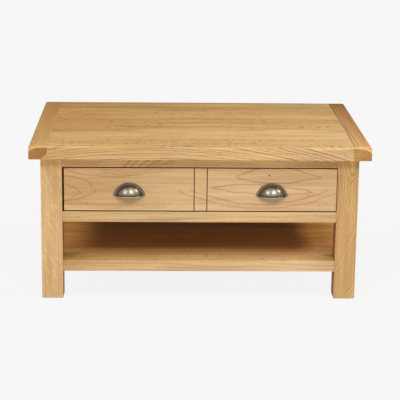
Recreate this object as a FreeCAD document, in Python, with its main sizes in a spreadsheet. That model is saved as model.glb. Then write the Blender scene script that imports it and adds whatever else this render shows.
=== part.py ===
import FreeCAD, Part
import os
import re
import Sketcher

# Oak coffee table: framed top on four legs, one wide drawer, open shelf below.
# Frame: millimetres, origin on the floor under the middle, +X right, +Y to the rear, +Z up.

# Driving sizes
SIZES = {
    "top_width": 950,
    "top_depth": 650,
    "table_height": 450,
    "top_thickness": 40,
    "top_edge_radius": 8,
    "corner_radius": 20,
    "corner_sweep": 14,
    "corner_inset": 19.5,
    "corner_drop": 27,
    "breadboard_width": 51,
    "top_board_2_width": 132,
    "top_board_3_width": 140,
    "top_board_4_width": 77,
    "top_board_5_width": 97,
    "tongue_length": 18,
    "tongue_thickness": 12,
    "tongue_stop": 25,
    "overhang": 30,
    "leg_size": 60,
    "arris": 2,
    "rail_setback": 2,
    "rail_thickness": 22,
    "rail_arris": 1.5,
    "top_rail_height": 27.5,
    "drawer_opening_height": 127.5,
    "drawer_rail_height": 31,
    "drawer_rail_depth": 40,
    "tenon_length": 25,
    "tenon_shoulder": 6,
    "glue_gap": 0.1,
    "foot_clearance": 80,
    "shelf_rail_height": 32,
    "shelf_board_thickness": 18,
    "shelf_board_arris": 0.8,
    "cleat_width": 24,
    "batten_width": 40,
    "runner_width": 26,
    "runner_height": 20,
    "guide_rise": 15,
    "stop_width": 40,
    "stop_depth": 16,
    "stop_height": 8,
    "running_gap": 0.3,
    "drawer_rear_room": 24,
    "drawer_end_gap": 2.8,
    "drawer_face_gap": 2.4,
    "drawer_head_gap": 3.5,
    "drawer_drift": 1.9,
    "drawer_front_thickness": 20,
    "drawer_side_thickness": 12,
    "drawer_back_thickness": 12,
    "drawer_bottom_thickness": 6,
    "drawer_bottom_rise": 10,
    "drawer_groove_depth": 5,
    "drawer_side_edge_radius": 3,
    "dovetail_lap": 14,
    "front_tail_width": 28,
    "rear_tail_width": 23,
    "tail_slope": 0.14,
    "middle_strip_width": 36,
    "strip_groove_width": 3,
    "strip_groove_depth": 2.5,
    "pull_width": 90,
    "pull_height": 38.5,
    "pull_base_rise": 42.5,
    "pull_projection": 22.5,
    "dome_width": 80,
    "dome_height": 33.5,
    "pull_wall": 2,
    "flange_thickness": 2.5,
    "flange_edge_radius": 1,
    "lip_radius": 1.7,
    "boss_spacing": 44,
    "boss_rise": 12,
    "boss_radius": 4,
    "pull_thread_depth": 8,
    "pull_screw_radius": 2,
    "pull_screw_head_radius": 4,
    "pull_screw_head_height": 2.4,
    "wood_screw_radius": 2.1,
    "wood_screw_head_radius": 4.2,
    "wood_screw_head_height": 3,
    "wood_screw_bite": 16,
    "counterbore_depth": 5,
    "shelf_screw_bite": 11,
    "bottom_screw_radius": 1.6,
    "bottom_screw_head_radius": 2.8,
    "bottom_screw_head_height": 2,
    "bottom_screw_bite": 18,
    "screw_fit": 0.15,
    "runner_screw_pitch": 140,
    "bottom_screw_pitch": 250,
}

TOP_BOARDS = 6
SHELF_BOARDS = 5
TAILS = 3
RUNNER_SCREWS = 3
BOTTOM_SCREWS = 3

# Sizes and places that follow from the driving ones
DERIVED = {
    "frame_top": "table_height - top_thickness",
    "top_board_1_width": "(top_depth - top_board_2_width - top_board_3_width"
                         " - top_board_4_width - top_board_5_width) / 2",
    "top_board_6_width": "top_board_1_width",
    "top_board_length": "top_width - 2 * breadboard_width",
    "leg_face_x": "top_width / 2 - overhang",
    "leg_face_y": "top_depth / 2 - overhang",
    "leg_x": "leg_face_x - leg_size / 2",
    "leg_y": "leg_face_y - leg_size / 2",
    "clear_x": "leg_face_x - leg_size",
    "clear_y": "leg_face_y - leg_size",
    "rail_face_x": "leg_face_x - rail_setback",
    "rail_face_y": "leg_face_y - rail_setback",
    "inner_x": "rail_face_x - rail_thickness",
    "inner_y": "rail_face_y - rail_thickness",
    "opening_top": "frame_top - top_rail_height",
    "opening_bottom": "opening_top - drawer_opening_height",
    "apron_bottom": "opening_bottom - drawer_rail_height",
    "apron_height": "frame_top - apron_bottom",
    "shelf_rail_depth": "leg_size - rail_setback",
    "shelf_board_width": f"2 * clear_y / {SHELF_BOARDS}",
    "cleat_height": "shelf_rail_height - shelf_board_thickness",
    "cleat_x": "inner_x - cleat_width / 2",
    "runner_x": "clear_x - runner_width / 2",
    "runner_front": "rail_face_y - drawer_rail_depth",
    "runner_z": "opening_bottom - runner_height / 2",
    "drawer_width": "2 * clear_x - 2 * drawer_end_gap",
    "front_bottom": "opening_bottom + drawer_face_gap",
    "front_top": "opening_top - drawer_face_gap",
    "front_rear": "rail_face_y - drawer_front_thickness",
    "side_bottom": "opening_bottom + running_gap",
    "side_top": "opening_top - drawer_head_gap",
    "side_inner": "drawer_width / 2 - drawer_side_thickness",
    "drawer_rear": "inner_y - drawer_rear_room",
    "drawer_depth": "drawer_rear + rail_face_y",
    "back_inner": "drawer_rear - drawer_back_thickness",
    "groove_bottom": "side_bottom + drawer_bottom_rise",
    "groove_top": "groove_bottom + drawer_bottom_thickness",
    "front_tail_pitch": f"(side_top - side_bottom) / {TAILS}",
    "rear_tail_pitch": f"(side_top - groove_top) / {TAILS}",
    "pull_x": "(drawer_width + middle_strip_width) / 4",
    "pull_z": "front_bottom + pull_base_rise",
    "rim_radius": "(dome_width * dome_width / 4 + pull_projection * pull_projection) / (2 * pull_projection)",
    "rim_centre": "rim_radius - pull_projection",
    "dome_drop": "(dome_width * dome_width / 4 - dome_height * dome_height) / (2 * dome_height)",
    "dome_radius": "sqrt(rim_radius * rim_radius + dome_drop * dome_drop)",
    "flange_radius": "(pull_width * pull_width / 4 + pull_height * pull_height) / (2 * pull_height)",
    "wood_hole": "wood_screw_radius + screw_fit",
    "wood_counterbore": "wood_screw_head_radius + screw_fit",
    "pull_hole": "pull_screw_radius + screw_fit",
    "bottom_hole": "bottom_screw_radius + screw_fit",
    "bottom_counterbore": "bottom_screw_head_radius + screw_fit",
}

doc = FreeCAD.newDocument("coffee_table")
sheet = doc.addObject("Spreadsheet::Sheet", "sizes")
for row, (size_name, size_value) in enumerate(SIZES.items(), 1):
    sheet.set(f"A{row}", size_name)
    sheet.set(f"B{row}", str(size_value))
    sheet.setAlias(f"B{row}", size_name)
doc.recompute()

SIDES = {"left": -1, "right": 1}
ENDS = {"front": -1, "rear": 1}
sub_parts = []


# Formulas and expressions

def bound(formula):
    """Spell a formula of size names out as an expression on the sheet's cells."""
    def spell(match):
        word = match.group(0)
        if word in DERIVED:
            return "(" + bound(DERIVED[word]) + ")"
        return "sizes." + word if word in SIZES else word
    return re.sub(r"[a-z_][a-z_0-9]*", spell, formula)


def value(formula):
    return float(doc.sizes.evalExpression(bound(formula)))


# Bodies, sketches and features

def new_body(label, x="0", y="0", z="0", turn=0, blank=False):
    """Empty body at a place; a blank is cut further before it counts as a sub-part."""
    body = doc.addObject("PartDesign::Body", label)
    body.Label = label
    body.Placement = FreeCAD.Placement(
        FreeCAD.Vector(), FreeCAD.Rotation(FreeCAD.Vector(0, 0, 1), turn))
    for axis, formula in zip("xyz", (x, y, z)):
        body.setExpression(f"Placement.Base.{axis}", bound(formula))
    if not blank:
        sub_parts.append(body)
    return body


def new_sketch(body, plane, offset):
    sketch = body.newObject("Sketcher::SketchObject", body.Name + "_sketch")
    support = next(part for part in body.Origin.OriginFeatures if part.Role == plane)
    sketch.AttachmentSupport = [(support, "")]
    sketch.MapMode = "FlatFace"
    sketch.setExpression("AttachmentOffset.Base.z", bound(offset))
    return sketch


def pin_point(sketch, geometry, end, place):
    """Hold one sketch point at a pair of formulas measured from the sketch's origin."""
    for word, axis, formula in zip(("DistanceX", "DistanceY"), (-2, -1), place):
        distance = value(formula)
        if abs(distance) < 1e-9:
            sketch.addConstraint(Sketcher.Constraint("PointOnObject", geometry, end, axis))
            continue
        index = sketch.addConstraint(Sketcher.Constraint(word, -1, 1, geometry, end, distance))
        sketch.setExpression(f"Constraints[{index}]", bound(formula))


def outline(body, plane, corners, offset="0"):
    """Closed outline of straight lines through the corners, each a pair of formulas."""
    sketch = new_sketch(body, plane, offset)
    points = [FreeCAD.Vector(value(across), value(up), 0) for across, up in corners]
    count = len(points)
    for index in range(count):
        sketch.addGeometry(Part.LineSegment(points[index], points[(index + 1) % count]), False)
    for index in range(count):
        sketch.addConstraint(Sketcher.Constraint("Coincident", index, 2, (index + 1) % count, 1))
    for index in range(count):
        pin_point(sketch, index, 1, corners[index])
    return sketch


def rectangle(body, plane, left, right, low, high, offset="0"):
    corners = [(left, low), (right, low), (right, high), (left, high)]
    return outline(body, plane, corners, offset)


def circles(body, plane, centres, radius, offset="0"):
    sketch = new_sketch(body, plane, offset)
    upward = FreeCAD.Vector(0, 0, 1)
    for index, (across, up) in enumerate(centres):
        middle = FreeCAD.Vector(value(across), value(up), 0)
        sketch.addGeometry(Part.Circle(middle, upward, value(radius)), False)
        pin_point(sketch, index, 3, (across, up))
        size = sketch.addConstraint(Sketcher.Constraint("Radius", index, value(radius)))
        sketch.setExpression(f"Constraints[{size}]", bound(radius))
    return sketch


def pad(body, sketch, length, midplane=False, backwards=False):
    feature = body.newObject("PartDesign::Pad", body.Name + "_pad")
    feature.Profile = sketch
    feature.Midplane = midplane
    feature.Reversed = backwards
    feature.setExpression("Length", bound(length))
    doc.recompute()
    return feature


def pocket(body, sketch, length, midplane=False, backwards=False):
    before = body.Tip.Shape.Volume
    feature = body.newObject("PartDesign::Pocket", body.Name + "_pocket")
    feature.Profile = sketch
    feature.Midplane = midplane
    feature.Reversed = backwards
    feature.setExpression("Length", bound(length))
    doc.recompute()
    if feature.Shape.Volume > before - 1e-3:
        raise RuntimeError(f"a pocket of {body.Label} cuts nothing")
    return feature


def repeat_upward(body, feature, pitch):
    """Repeat a feature up the body's Z axis, once for each dovetail."""
    pattern = body.newObject("PartDesign::LinearPattern", body.Name + "_pattern")
    pattern.Originals = [feature]
    axis = next(part for part in body.Origin.OriginFeatures if part.Role == "Z_Axis")
    pattern.Direction = (axis, [""])
    pattern.Occurrences = TAILS
    pattern.setExpression("Length", bound(f"{TAILS - 1} * {pitch}"))
    body.Tip = pattern
    doc.recompute()
    return pattern


def round_edges(body, radius, wanted):
    """Fillet the edges whose middle point (in the body's own frame) the test accepts."""
    base = body.Tip
    names = []
    for index, edge in enumerate(base.Shape.Edges, 1):
        middle = edge.valueAt((edge.FirstParameter + edge.LastParameter) / 2)
        if wanted(middle):
            names.append(f"Edge{index}")
    feature = body.newObject("PartDesign::Fillet", body.Name + "_fillet")
    feature.Base = (base, names)
    feature.setExpression("Radius", bound(radius))
    doc.recompute()
    return feature


def near(number, formula):
    return abs(number - value(formula)) < 1e-4


# Plain solids and what is made of them

def primitive(kind, label, sizes, place=("0", "0", "0")):
    solid = doc.addObject(kind, label)
    for name, formula in sizes.items():
        solid.setExpression(name, bound(formula))
    for axis, formula in zip("xyz", place):
        solid.setExpression(f"Placement.Base.{axis}", bound(formula))
    return solid


def along_front(solid):
    """Turn a cylinder so that its axis points out of the table's front."""
    solid.Placement.Rotation = FreeCAD.Rotation(FreeCAD.Vector(1, 0, 0), 90)
    return solid


def rounded_rim(disc, label, y, radius):
    """Fillet the round edge of a turned cylinder that lies at the given y."""
    doc.recompute()
    rounded = doc.addObject("Part::Fillet", label)
    rounded.Base = disc
    rims = [index for index, edge in enumerate(disc.Shape.Edges, 1)
            if edge.isClosed() and near(edge.CenterOfMass.y, y)]
    rounded.Edges = [(index, value(radius), value(radius)) for index in rims]
    return rounded


def combine(kind, label, solids):
    result = doc.addObject(kind, label)
    if kind == "Part::MultiFuse":
        result.Shapes = solids
    else:
        result.Base, result.Tool = solids
    return result


# Top

def top_board(number):
    label = f"top_board_{number}"
    width = f"{label}_width"
    before = " + ".join(f"top_board_{index}_width" for index in range(1, number)) or "0"
    body = new_body(label, y=f"{before} + {width} / 2 - top_depth / 2", z="frame_top")
    half = f"{width} / 2"
    pad(body, rectangle(body, "YZ_Plane", f"-{half}", half, "0", "top_thickness"),
        "top_board_length", midplane=True)
    outer = {1: f"-{half}", TOP_BOARDS: half}.get(number)
    if outer:
        round_edges(body, "top_edge_radius",
                    lambda middle: near(middle.y, outer) and near(middle.z, "top_thickness"))
        round_edges(body, "arris", lambda middle: near(middle.y, outer) and near(middle.z, "0"))
    low_side = f"-{half} + tongue_stop" if number == 1 else f"-{half}"
    high_side = f"{half} - tongue_stop" if number == TOP_BOARDS else half
    tongue = rectangle(body, "YZ_Plane", low_side, high_side,
                       "(top_thickness - tongue_thickness) / 2", "(top_thickness + tongue_thickness) / 2")
    pad(body, tongue, "top_board_length + 2 * tongue_length", midplane=True)
    if 1 < number < TOP_BOARDS:
        holes = circles(body, "XY_Plane", [("-runner_x", "0"), ("runner_x", "0")], "wood_hole")
        pocket(body, holes, "wood_screw_bite + screw_fit", backwards=True)


def corner_waste(label, sign, end):
    """What is sanded off a top corner: a block less a round-rimmed wheel behind the end of the board."""
    x = f"{sign} * (top_width / 2 - corner_inset)"
    z = "table_height - corner_drop"
    face = f"{end} * top_depth / 2"
    foot = face if end > 0 else f"{face} + 2 * corner_sweep"
    wheel = along_front(primitive("Part::Cylinder", label + "_wheel",
                                  {"Radius": "corner_radius + corner_sweep", "Height": "2 * corner_sweep"},
                                  (x, foot, z)))
    left = x if sign > 0 else f"{x} - 2 * corner_inset"
    block = primitive("Part::Box", label + "_block",
                      {"Length": "2 * corner_inset", "Width": "2 * corner_sweep", "Height": "2 * corner_drop"},
                      (left, f"{face} - corner_sweep", z))
    return combine("Part::Cut", label, [block, rounded_rim(wheel, label + "_rim", face, "corner_sweep")])


def breadboard_end(side, sign):
    label = f"breadboard_end_{side}"
    body = new_body(label + "_blank", x=f"{sign} * (top_width - breadboard_width) / 2", z="frame_top", blank=True)
    pad(body, rectangle(body, "XY_Plane", "-breadboard_width / 2", "breadboard_width / 2",
                        "-top_depth / 2", "top_depth / 2"), "top_thickness")
    outer = f"{sign} * breadboard_width / 2"

    def outward(middle):
        return near(middle.x, outer) or near(abs(middle.y), "top_depth / 2")
    round_edges(body, "top_edge_radius",
                lambda middle: outward(middle) and near(middle.z, "top_thickness"))
    round_edges(body, "arris", lambda middle: outward(middle) and near(middle.z, "0"))
    reach = "top_depth / 2 - tongue_stop + glue_gap"
    groove = rectangle(body, "YZ_Plane", f"-({reach})", reach,
                       "(top_thickness - tongue_thickness) / 2 - glue_gap",
                       "(top_thickness + tongue_thickness) / 2 + glue_gap",
                       offset=f"{-sign} * breadboard_width / 2")
    pocket(body, groove, "tongue_length + glue_gap", backwards=sign > 0)
    wastes = [corner_waste(f"{label}_{end_name}_waste", sign, end) for end_name, end in ENDS.items()]
    board = combine("Part::Cut", label, [body, combine("Part::MultiFuse", label + "_waste", wastes)])
    board.Label = label
    sub_parts.append(board)


# Legs and rails

def mortise_across(body, sign, middle, depth, low, height):
    """Mortise in the leg's face towards the table's middle, for a rail that runs left to right."""
    half = f"({depth} / 2 - tenon_shoulder + glue_gap)"
    hole = rectangle(body, "YZ_Plane", f"{middle} - {half}", f"{middle} + {half}",
                     f"{low} + tenon_shoulder - glue_gap", f"{low} + {height} - tenon_shoulder + glue_gap",
                     offset=f"{-sign} * leg_size / 2")
    pocket(body, hole, "tenon_length + glue_gap", backwards=sign > 0)


def mortise_along(body, sign, end, low, height):
    """Mortise in the leg's face towards the other end, for a rail that runs front to rear."""
    middle = f"{sign} * (leg_size / 2 - rail_setback - rail_thickness / 2)"
    half = "(rail_thickness / 2 - tenon_shoulder + glue_gap)"
    hole = rectangle(body, "XZ_Plane", f"{middle} - {half}", f"{middle} + {half}",
                     f"{low} + tenon_shoulder - glue_gap", f"{low} + {height} - tenon_shoulder + glue_gap",
                     offset=f"{end} * leg_size / 2")
    pocket(body, hole, "tenon_length + glue_gap", backwards=end < 0)


def leg(end_name, end, side, sign):
    body = new_body(f"leg_{end_name}_{side}", x=f"{sign} * leg_x", y=f"{end} * leg_y")
    half = "leg_size / 2"
    pad(body, rectangle(body, "XY_Plane", f"-{half}", half, f"-{half}", half), "frame_top")
    round_edges(body, "arris", lambda middle: near(abs(middle.x), half) and near(abs(middle.y), half))
    round_edges(body, "rail_arris", lambda middle: near(middle.z, "0"))

    def rail_middle(depth):
        return f"{end} * (leg_size / 2 - rail_setback - {depth} / 2)"
    if end < 0:
        mortise_across(body, sign, rail_middle("rail_thickness"), "rail_thickness",
                       "opening_top", "top_rail_height")
        mortise_across(body, sign, rail_middle("drawer_rail_depth"), "drawer_rail_depth",
                       "apron_bottom", "drawer_rail_height")
    else:
        mortise_across(body, sign, rail_middle("rail_thickness"), "rail_thickness",
                       "apron_bottom", "apron_height")
    mortise_across(body, sign, rail_middle("shelf_rail_depth"), "shelf_rail_depth",
                   "foot_clearance", "shelf_rail_height")
    mortise_along(body, sign, end, "apron_bottom", "apron_height")
    mortise_along(body, sign, end, "foot_clearance", "shelf_rail_height")


def rail(label, length, depth, height, low, x="0", y="0", turn=0):
    """Rail with a tenon at each end; its outer face is towards its own -Y before it is turned."""
    body = new_body(label, x=x, y=y, z=f"{low} + {height} / 2", turn=turn)
    pad(body, rectangle(body, "YZ_Plane", f"-{depth} / 2", f"{depth} / 2",
                        f"-{height} / 2", f"{height} / 2"), length, midplane=True)
    round_edges(body, "rail_arris",
                lambda middle: near(middle.y, f"-{depth} / 2") and near(abs(middle.z), f"{height} / 2"))
    tenon = rectangle(body, "YZ_Plane", f"-{depth} / 2 + tenon_shoulder", f"{depth} / 2 - tenon_shoulder",
                      f"-{height} / 2 + tenon_shoulder", f"{height} / 2 - tenon_shoulder")
    pad(body, tenon, f"{length} + 2 * tenon_length", midplane=True)


def rails():
    across = "2 * clear_x"
    along = "2 * clear_y"
    upright = "rail_face_y - rail_thickness / 2"
    sideways = "rail_face_x - rail_thickness / 2"
    rail("front_top_rail", across, "rail_thickness", "top_rail_height", "opening_top", y=f"-({upright})")
    rail("front_drawer_rail", across, "drawer_rail_depth", "drawer_rail_height", "apron_bottom",
         y="drawer_rail_depth / 2 - rail_face_y")
    rail("rear_apron", across, "rail_thickness", "apron_height", "apron_bottom", y=upright, turn=180)
    for end_name, end in ENDS.items():
        rail(f"shelf_rail_{end_name}", across, "shelf_rail_depth", "shelf_rail_height", "foot_clearance",
             y=f"{end} * (rail_face_y - shelf_rail_depth / 2)", turn=0 if end < 0 else 180)
    for side, sign in SIDES.items():
        rail(f"side_apron_{side}", along, "rail_thickness", "apron_height", "apron_bottom",
             x=f"{sign} * ({sideways})", turn=90 * sign)
        rail(f"shelf_rail_{side}", along, "rail_thickness", "shelf_rail_height", "foot_clearance",
             x=f"{sign} * ({sideways})", turn=90 * sign)


# Shelf

def shelf_board_middle(number):
    return f"({number} - {(SHELF_BOARDS + 1) / 2}) * shelf_board_width"


def shelf_board(number):
    body = new_body(f"shelf_board_{number}", y=shelf_board_middle(number), z="foot_clearance + cleat_height")
    half = "shelf_board_width / 2"
    pad(body, rectangle(body, "YZ_Plane", f"-{half}", half, "0", "shelf_board_thickness"),
        "2 * inner_x", midplane=True)
    round_edges(body, "shelf_board_arris",
                lambda middle: near(abs(middle.y), half) and near(middle.z, "shelf_board_thickness"))
    places = [("-cleat_x", "0"), ("0", "0"), ("cleat_x", "0")]
    pocket(body, circles(body, "XY_Plane", places, "wood_hole"), "shelf_screw_bite + screw_fit", backwards=True)


def shelf_bearer(label, width, x):
    """Strip under the shelf boards, counterbored from below for one screw in each board."""
    body = new_body(label, x=x, z="foot_clearance")
    pad(body, rectangle(body, "XY_Plane", f"-{width} / 2", f"{width} / 2", "-clear_y", "clear_y"),
        "cleat_height")
    places = [("0", shelf_board_middle(number)) for number in range(1, SHELF_BOARDS + 1)]
    pocket(body, circles(body, "XY_Plane", places, "wood_hole"), "cleat_height", backwards=True)
    pocket(body, circles(body, "XY_Plane", places, "wood_counterbore"), "counterbore_depth", backwards=True)


# Drawer runners, guides, kickers and stops

def runner_screw_places():
    middle = (RUNNER_SCREWS - 1) / 2
    return [f"({index - middle}) * runner_screw_pitch" for index in range(RUNNER_SCREWS)]


def drawer_runner(side, sign):
    body = new_body(f"drawer_runner_{side}", x=f"{sign} * runner_x", z="runner_z")
    pad(body, rectangle(body, "XY_Plane", "-runner_width / 2", "runner_width / 2", "-runner_front", "inner_y"),
        "runner_height", midplane=True)
    places = [(y, "0") for y in runner_screw_places()]
    inner_face = f"{-sign} * runner_width / 2"
    pocket(body, circles(body, "YZ_Plane", places, "wood_hole", inner_face), "runner_width", backwards=sign > 0)
    pocket(body, circles(body, "YZ_Plane", places, "wood_counterbore", inner_face), "counterbore_depth",
           backwards=sign > 0)


def drawer_guide(side, sign):
    body = new_body(f"drawer_guide_{side}", x=f"{sign} * clear_x", z="runner_z")
    edges = sorted(("0", f"{sign} * (inner_x - clear_x)"), key=value)
    pad(body, rectangle(body, "XZ_Plane", edges[0], edges[1], "-runner_height / 2",
                        "runner_height / 2 + guide_rise"), "2 * clear_y", midplane=True)
    places = [(y, "0") for y in runner_screw_places()]
    pocket(body, circles(body, "YZ_Plane", places, "wood_hole"), "wood_screw_bite + screw_fit",
           backwards=sign > 0)


def top_screw_places():
    """Middles of the four inner boards of the top, measured front to rear."""
    places = []
    before = "top_board_1_width"
    for number in range(2, TOP_BOARDS):
        places.append(f"{before} + top_board_{number}_width / 2 - top_depth / 2")
        before += f" + top_board_{number}_width"
    return places


def kicker(side, sign):
    body = new_body(f"kicker_{side}", x=f"{sign} * runner_x", z="opening_top")
    pad(body, rectangle(body, "XY_Plane", "-runner_width / 2", "runner_width / 2", "-inner_y", "inner_y"),
        "top_rail_height")
    places = [("0", y) for y in top_screw_places()]
    pocket(body, circles(body, "XY_Plane", places, "wood_hole"), "top_rail_height", backwards=True)
    pocket(body, circles(body, "XY_Plane", places, "wood_counterbore"), "counterbore_depth", backwards=True)


def drawer_stop(side, sign):
    body = new_body(f"drawer_stop_{side}", x=f"{sign} * pull_x", y="-front_rear + running_gap",
                    z="opening_bottom")
    pad(body, rectangle(body, "XY_Plane", "-stop_width / 2", "stop_width / 2", "0", "stop_depth"), "stop_height")
    round_edges(body, "rail_arris", lambda middle: near(middle.y, "0") and near(middle.z, "stop_height"))


# Drawer

def tail_outline(body, base, tip, middle, width, slack, offset):
    """Dovetail seen from the side: narrow at its base, wide at its tip."""
    wide = f"({width} / 2 + {slack})"
    narrow = f"({width} / 2 - tail_slope * abs({tip} - ({base})) + {slack})"
    corners = [(base, f"{middle} - {narrow}"), (tip, f"{middle} - {wide}"),
               (tip, f"{middle} + {wide}"), (base, f"{middle} + {narrow}")]
    return outline(body, "YZ_Plane", corners, offset)


front_tail = {"base": "-front_rear", "tip": "-front_rear - dovetail_lap",
              "middle": "side_bottom + front_tail_pitch / 2", "width": "front_tail_width"}
rear_tail = {"base": "back_inner", "tip": "drawer_rear",
             "middle": "groove_top + rear_tail_pitch / 2", "width": "rear_tail_width"}


def dovetail_sockets(body, tail, pitch, sign):
    sketch = tail_outline(body, slack="glue_gap", offset=f"{sign} * drawer_width / 2", **tail)
    first = pocket(body, sketch, "drawer_side_thickness", backwards=sign < 0)
    repeat_upward(body, first, pitch)


def drawer_front():
    body = new_body("drawer_front", x="drawer_drift")
    half = "drawer_width / 2"
    pad(body, rectangle(body, "XZ_Plane", f"-{half}", half, "front_bottom", "front_top", offset="rail_face_y"),
        "drawer_front_thickness", backwards=True)
    round_edges(body, "rail_arris", lambda middle: near(middle.y, "-rail_face_y"))
    for sign in SIDES.values():
        middle = f"{sign} * middle_strip_width / 2"
        corners = [(f"{middle} - strip_groove_width / 2", "-rail_face_y"),
                   (f"{middle} + strip_groove_width / 2", "-rail_face_y"),
                   (middle, "strip_groove_depth - rail_face_y")]
        pocket(body, outline(body, "XY_Plane", corners, offset="front_top"), "front_top - front_bottom")
    for sign in SIDES.values():
        dovetail_sockets(body, front_tail, "front_tail_pitch", sign)
    groove = rectangle(body, "YZ_Plane", "-front_rear - drawer_groove_depth", "-front_rear",
                       "groove_bottom - glue_gap", "groove_top + glue_gap")
    pocket(body, groove, "2 * side_inner", midplane=True)
    places = [(f"{sign} * pull_x + {post} * boss_spacing / 2", "pull_z + boss_rise")
              for sign in SIDES.values() for post in SIDES.values()]
    pocket(body, circles(body, "XZ_Plane", places, "pull_hole", offset="rail_face_y"), "drawer_front_thickness")


def drawer_side(side, sign):
    body = new_body(f"drawer_side_{side}", x="drawer_drift")
    face = "side_inner" if sign > 0 else "-drawer_width / 2"
    corners = [("-front_rear", "side_bottom"), ("drawer_rear", "side_bottom"), ("drawer_rear", "groove_top"),
               ("back_inner", "groove_top"), ("back_inner", "side_top"), ("-front_rear", "side_top")]
    pad(body, outline(body, "YZ_Plane", corners, offset=face), "drawer_side_thickness")
    round_edges(body, "drawer_side_edge_radius",
                lambda middle: near(middle.z, "side_top") and middle.y < value("back_inner") - 1
                and middle.y > value("-front_rear") + 1)
    for tail, pitch in ((front_tail, "front_tail_pitch"), (rear_tail, "rear_tail_pitch")):
        sketch = tail_outline(body, slack="0", offset=face, **tail)
        repeat_upward(body, pad(body, sketch, "drawer_side_thickness"), pitch)
    edges = sorted((f"{sign} * side_inner", f"{sign} * (side_inner + drawer_groove_depth)"), key=value)
    groove = rectangle(body, "XZ_Plane", edges[0], edges[1], "groove_bottom - glue_gap", "groove_top + glue_gap",
                       offset="rail_face_y")
    pocket(body, groove, "drawer_depth")


def drawer_back():
    body = new_body("drawer_back", x="drawer_drift")
    half = "drawer_width / 2"
    pad(body, rectangle(body, "XZ_Plane", f"-{half}", half, "groove_top + glue_gap", "side_top",
                        offset="-drawer_rear"), "drawer_back_thickness")
    for sign in SIDES.values():
        dovetail_sockets(body, rear_tail, "rear_tail_pitch", sign)
    pocket(body, circles(body, "XY_Plane", bottom_screw_places(), "bottom_hole", offset="groove_top + glue_gap"),
           "bottom_screw_bite + screw_fit", backwards=True)


def bottom_screw_places():
    middle = (BOTTOM_SCREWS - 1) / 2
    return [(f"({index - middle}) * bottom_screw_pitch", "drawer_rear - drawer_back_thickness / 2")
            for index in range(BOTTOM_SCREWS)]


def drawer_bottom():
    body = new_body("drawer_bottom", x="drawer_drift")
    reach = "side_inner + drawer_groove_depth - glue_gap"
    pad(body, rectangle(body, "XY_Plane", f"-({reach})", reach, "glue_gap - front_rear - drawer_groove_depth",
                        "drawer_rear", offset="groove_bottom"), "drawer_bottom_thickness")
    places = bottom_screw_places()
    pocket(body, circles(body, "XY_Plane", places, "bottom_hole", offset="groove_bottom"),
           "drawer_bottom_thickness", backwards=True)
    pocket(body, circles(body, "XY_Plane", places, "bottom_counterbore", offset="groove_bottom"),
           "bottom_screw_head_height", backwards=True)


# Cup pulls

def cup_pull(side, sign):
    """Quarter dome on a round-topped flange, with a rolled lip below and two posts for screws from behind."""
    label = f"cup_pull_{side}"
    x = f"drawer_drift + {sign} * pull_x"
    face = "-rail_face_y"
    centre = (x, f"{face} + rim_centre", "pull_z - dome_drop")
    outside = primitive("Part::Sphere", label + "_outside", {"Radius": "dome_radius"}, centre)
    inside = primitive("Part::Sphere", label + "_inside", {"Radius": "dome_radius - pull_wall"}, centre)
    disc = along_front(primitive("Part::Cylinder", label + "_disc",
                                 {"Radius": "flange_radius", "Height": "flange_thickness"},
                                 (x, face, "pull_z + pull_height - flange_radius")))
    flange = rounded_rim(disc, label + "_flange", f"{face} - flange_thickness", "flange_edge_radius")
    shell = combine("Part::Cut", label + "_shell",
                    [combine("Part::MultiFuse", label + "_solid", [outside, flange]), inside])
    above = primitive("Part::Box", label + "_above",
                      {"Length": "2 * pull_width", "Width": "2 * pull_projection", "Height": "2 * pull_height"},
                      (f"{x} - pull_width", f"{face} - 2 * pull_projection", "pull_z"))
    quarter = combine("Part::Common", label + "_quarter", [shell, above])
    ring = primitive("Part::Torus", label + "_ring",
                     {"Radius1": "rim_radius - pull_wall / 2", "Radius2": "lip_radius"},
                     (x, f"{face} + rim_centre", "pull_z"))
    before = primitive("Part::Box", label + "_before",
                       {"Length": "2 * pull_width", "Width": "2 * pull_projection", "Height": "2 * pull_height"},
                       (f"{x} - pull_width", f"{face} - 2 * pull_projection", "pull_z - pull_height"))
    lip = combine("Part::Common", label + "_lip", [ring, before])
    posts = []
    threads = []
    for post_name, post in SIDES.items():
        for name, radius, length, group in (("post", "boss_radius", "pull_projection", posts),
                                            ("thread", "pull_hole", "pull_thread_depth", threads)):
            rod = primitive("Part::Cylinder", f"{label}_{name}_{post_name}", {"Radius": radius, "Height": length},
                            (f"{x} + {post} * boss_spacing / 2", face, "pull_z + boss_rise"))
            group.append(along_front(rod))
    both_posts = combine("Part::MultiFuse", label + "_posts", posts)
    fitted = combine("Part::Common", label + "_fitted_posts", [both_posts, outside])
    cup = combine("Part::MultiFuse", label + "_cup", [quarter, lip, fitted])
    both_threads = combine("Part::MultiFuse", label + "_threads", threads)
    pull = combine("Part::Cut", label, [cup, both_threads])
    pull.Label = label
    sub_parts.append(pull)


# Screws

def screw_group(label, head_radius, head_height, radius, length, places, direction):
    """One turned screw, head at the origin and shank up Z, copied to each place along a direction."""
    body = doc.addObject("PartDesign::Body", label + "_screw")
    corners = [("0", f"-{head_height}"), (head_radius, f"-{head_height}"), (head_radius, "0"), (radius, "0"),
               (radius, f"{length} - {radius}"), ("0", length)]
    profile = outline(body, "XZ_Plane", corners)
    turned = body.newObject("PartDesign::Revolution", label + "_turned")
    turned.Profile = profile
    turned.ReferenceAxis = (profile, ["V_Axis"])
    turned.Angle = 360
    doc.recompute()
    copies = []
    for place, heading in zip(places, direction):
        shape = body.Shape.copy()
        spot = FreeCAD.Vector(*(value(formula) for formula in place))
        turn = FreeCAD.Rotation(FreeCAD.Vector(0, 0, 1), FreeCAD.Vector(*heading))
        shape.Placement = FreeCAD.Placement(spot, turn)
        copies.append(shape)
    group = doc.addObject("Part::Feature", label)
    group.Shape = Part.makeCompound(copies)
    group.Label = label
    sub_parts.append(group)


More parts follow.
